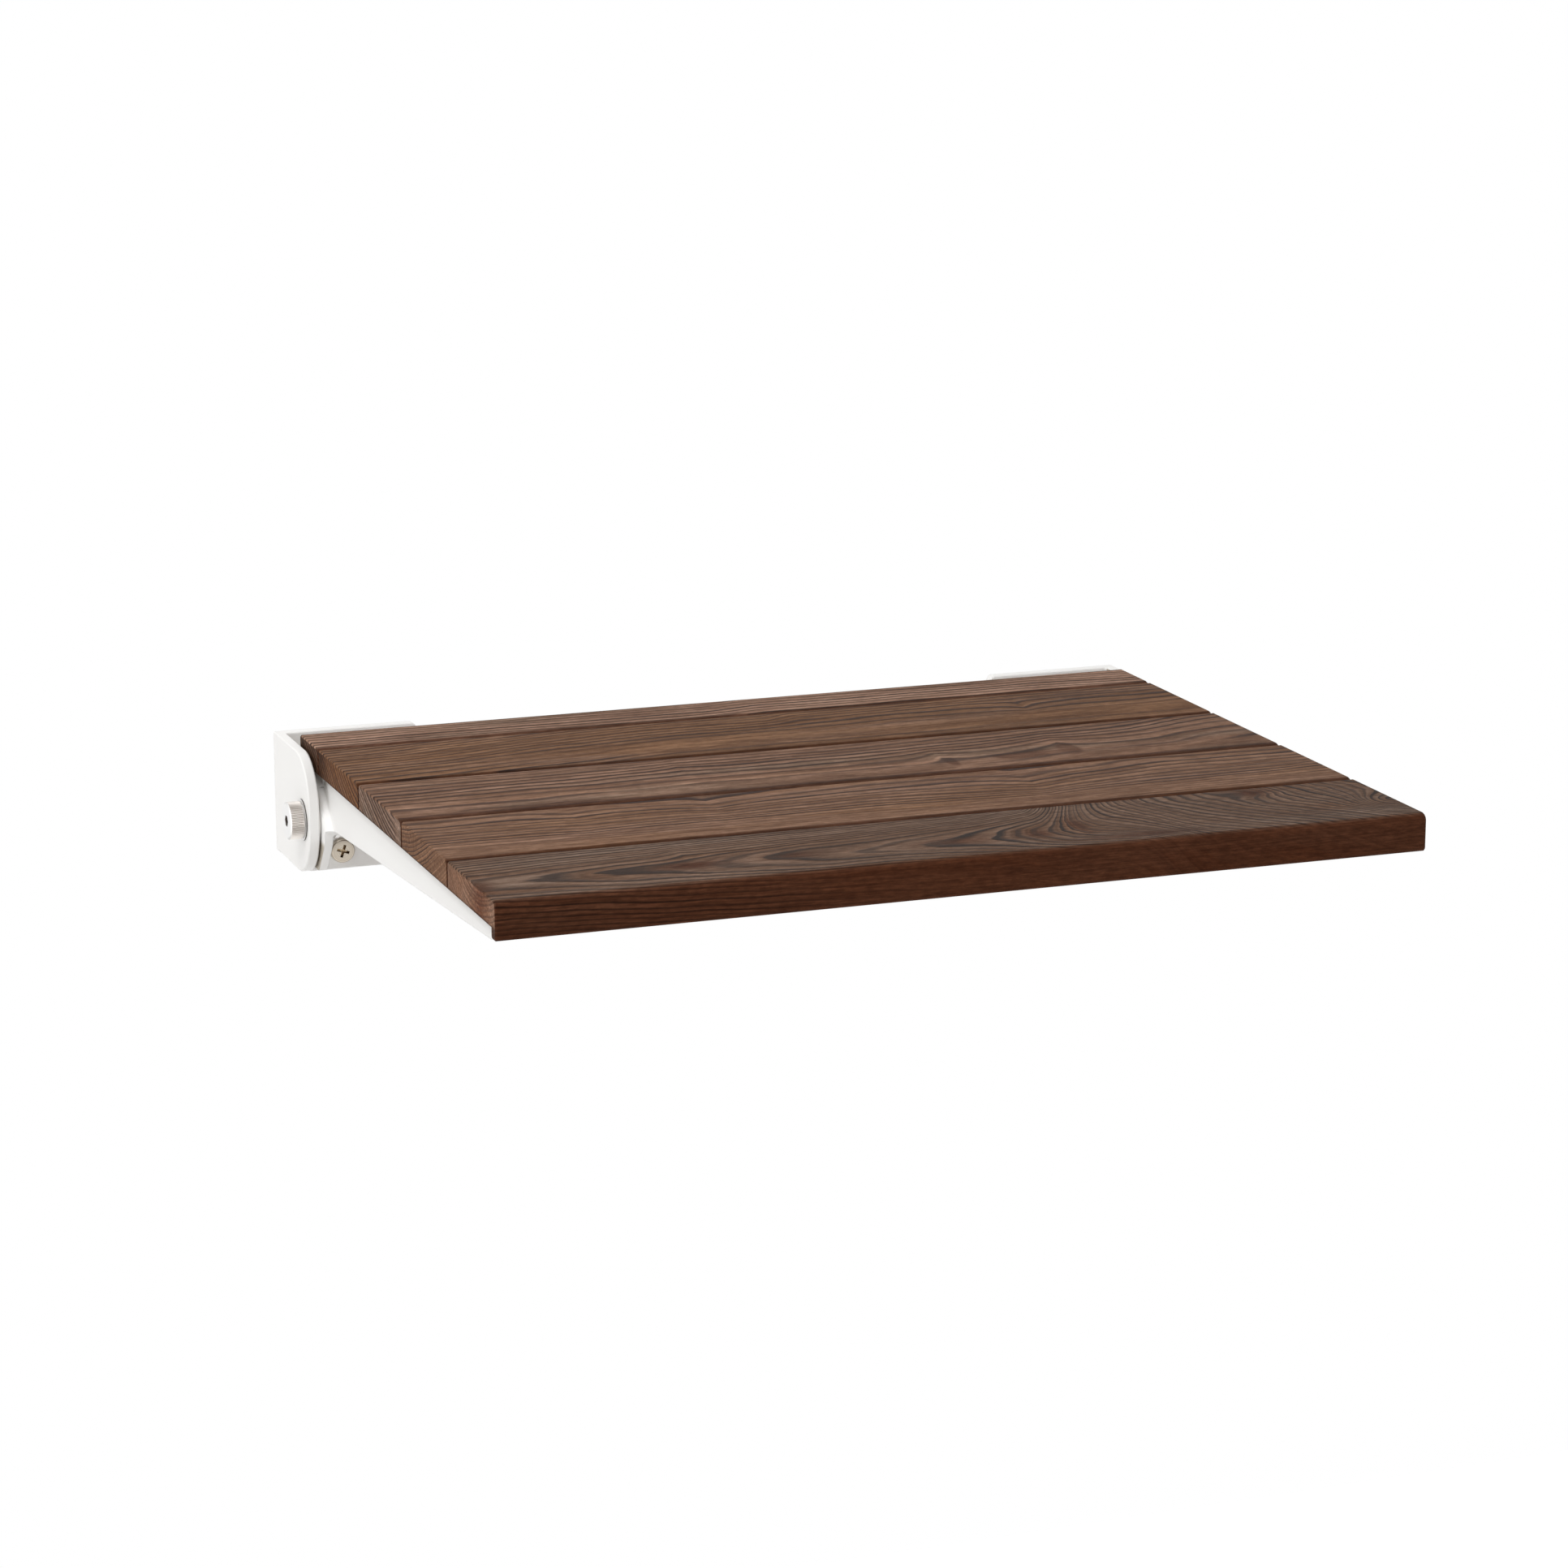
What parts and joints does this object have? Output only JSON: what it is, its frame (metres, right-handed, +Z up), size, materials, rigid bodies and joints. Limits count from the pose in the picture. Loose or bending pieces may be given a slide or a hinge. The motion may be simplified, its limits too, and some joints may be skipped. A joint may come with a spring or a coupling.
{
  "type": "fold down wall seat",
  "caption": "Wall seat of dark wooden slats on stepped white steel arms that fold up about pivot bolts in white steel wall brackets.",
  "frame": {"origin": "on the wall, midway between the two brackets and at the middle height of their back plates", "axes": "+X along the wall to the right as seen from the room, -Y out of the wall into the room, +Z up; the seat is folded down at rest"},
  "size_m": [0.4584, 0.3863, 0.0737],
  "materials": {
    "white_coated_steel": "satin powder coat",
    "stainless_steel": "turned and knurled, bright",
    "dark_washer": "dark",
    "bronze_bush": "plain",
    "dark_brown_wood": "oiled, heat treated"
  },
  "bodies": {
    "wall_mount": {"left_wall_bracket": "white_coated_steel", "right_wall_bracket": "white_coated_steel", "left_wall_screws": "stainless_steel", "right_wall_screws": "stainless_steel", "left_pivot_bolt": "stainless_steel", "right_pivot_bolt": "stainless_steel", "left_head_washer": "dark_washer", "right_head_washer": "dark_washer", "left_thrust_washer": "stainless_steel", "right_thrust_washer": "stainless_steel", "left_pivot_collar": "stainless_steel", "right_pivot_collar": "stainless_steel", "left_inner_washer": "stainless_steel", "right_inner_washer": "stainless_steel", "left_lock_nut": "stainless_steel", "right_lock_nut": "stainless_steel"},
    "seat": {"left_arm": "white_coated_steel", "right_arm": "white_coated_steel", "left_pivot_bush": "bronze_bush", "right_pivot_bush": "bronze_bush", "left_slat_screws": "stainless_steel", "right_slat_screws": "stainless_steel", "slat_1": "dark_brown_wood", "slat_2": "dark_brown_wood", "slat_3": "dark_brown_wood", "slat_4": "dark_brown_wood", "slat_5": "dark_brown_wood"}
  },
  "joints": [
    {"name": "seat_fold", "type": "hinge", "parent": "wall_mount", "child": "seat", "pos_m": [0, -0.0533, 0.0037], "axis": [-1, 0, 0], "range_deg": [0, 93.5]}
  ]
}
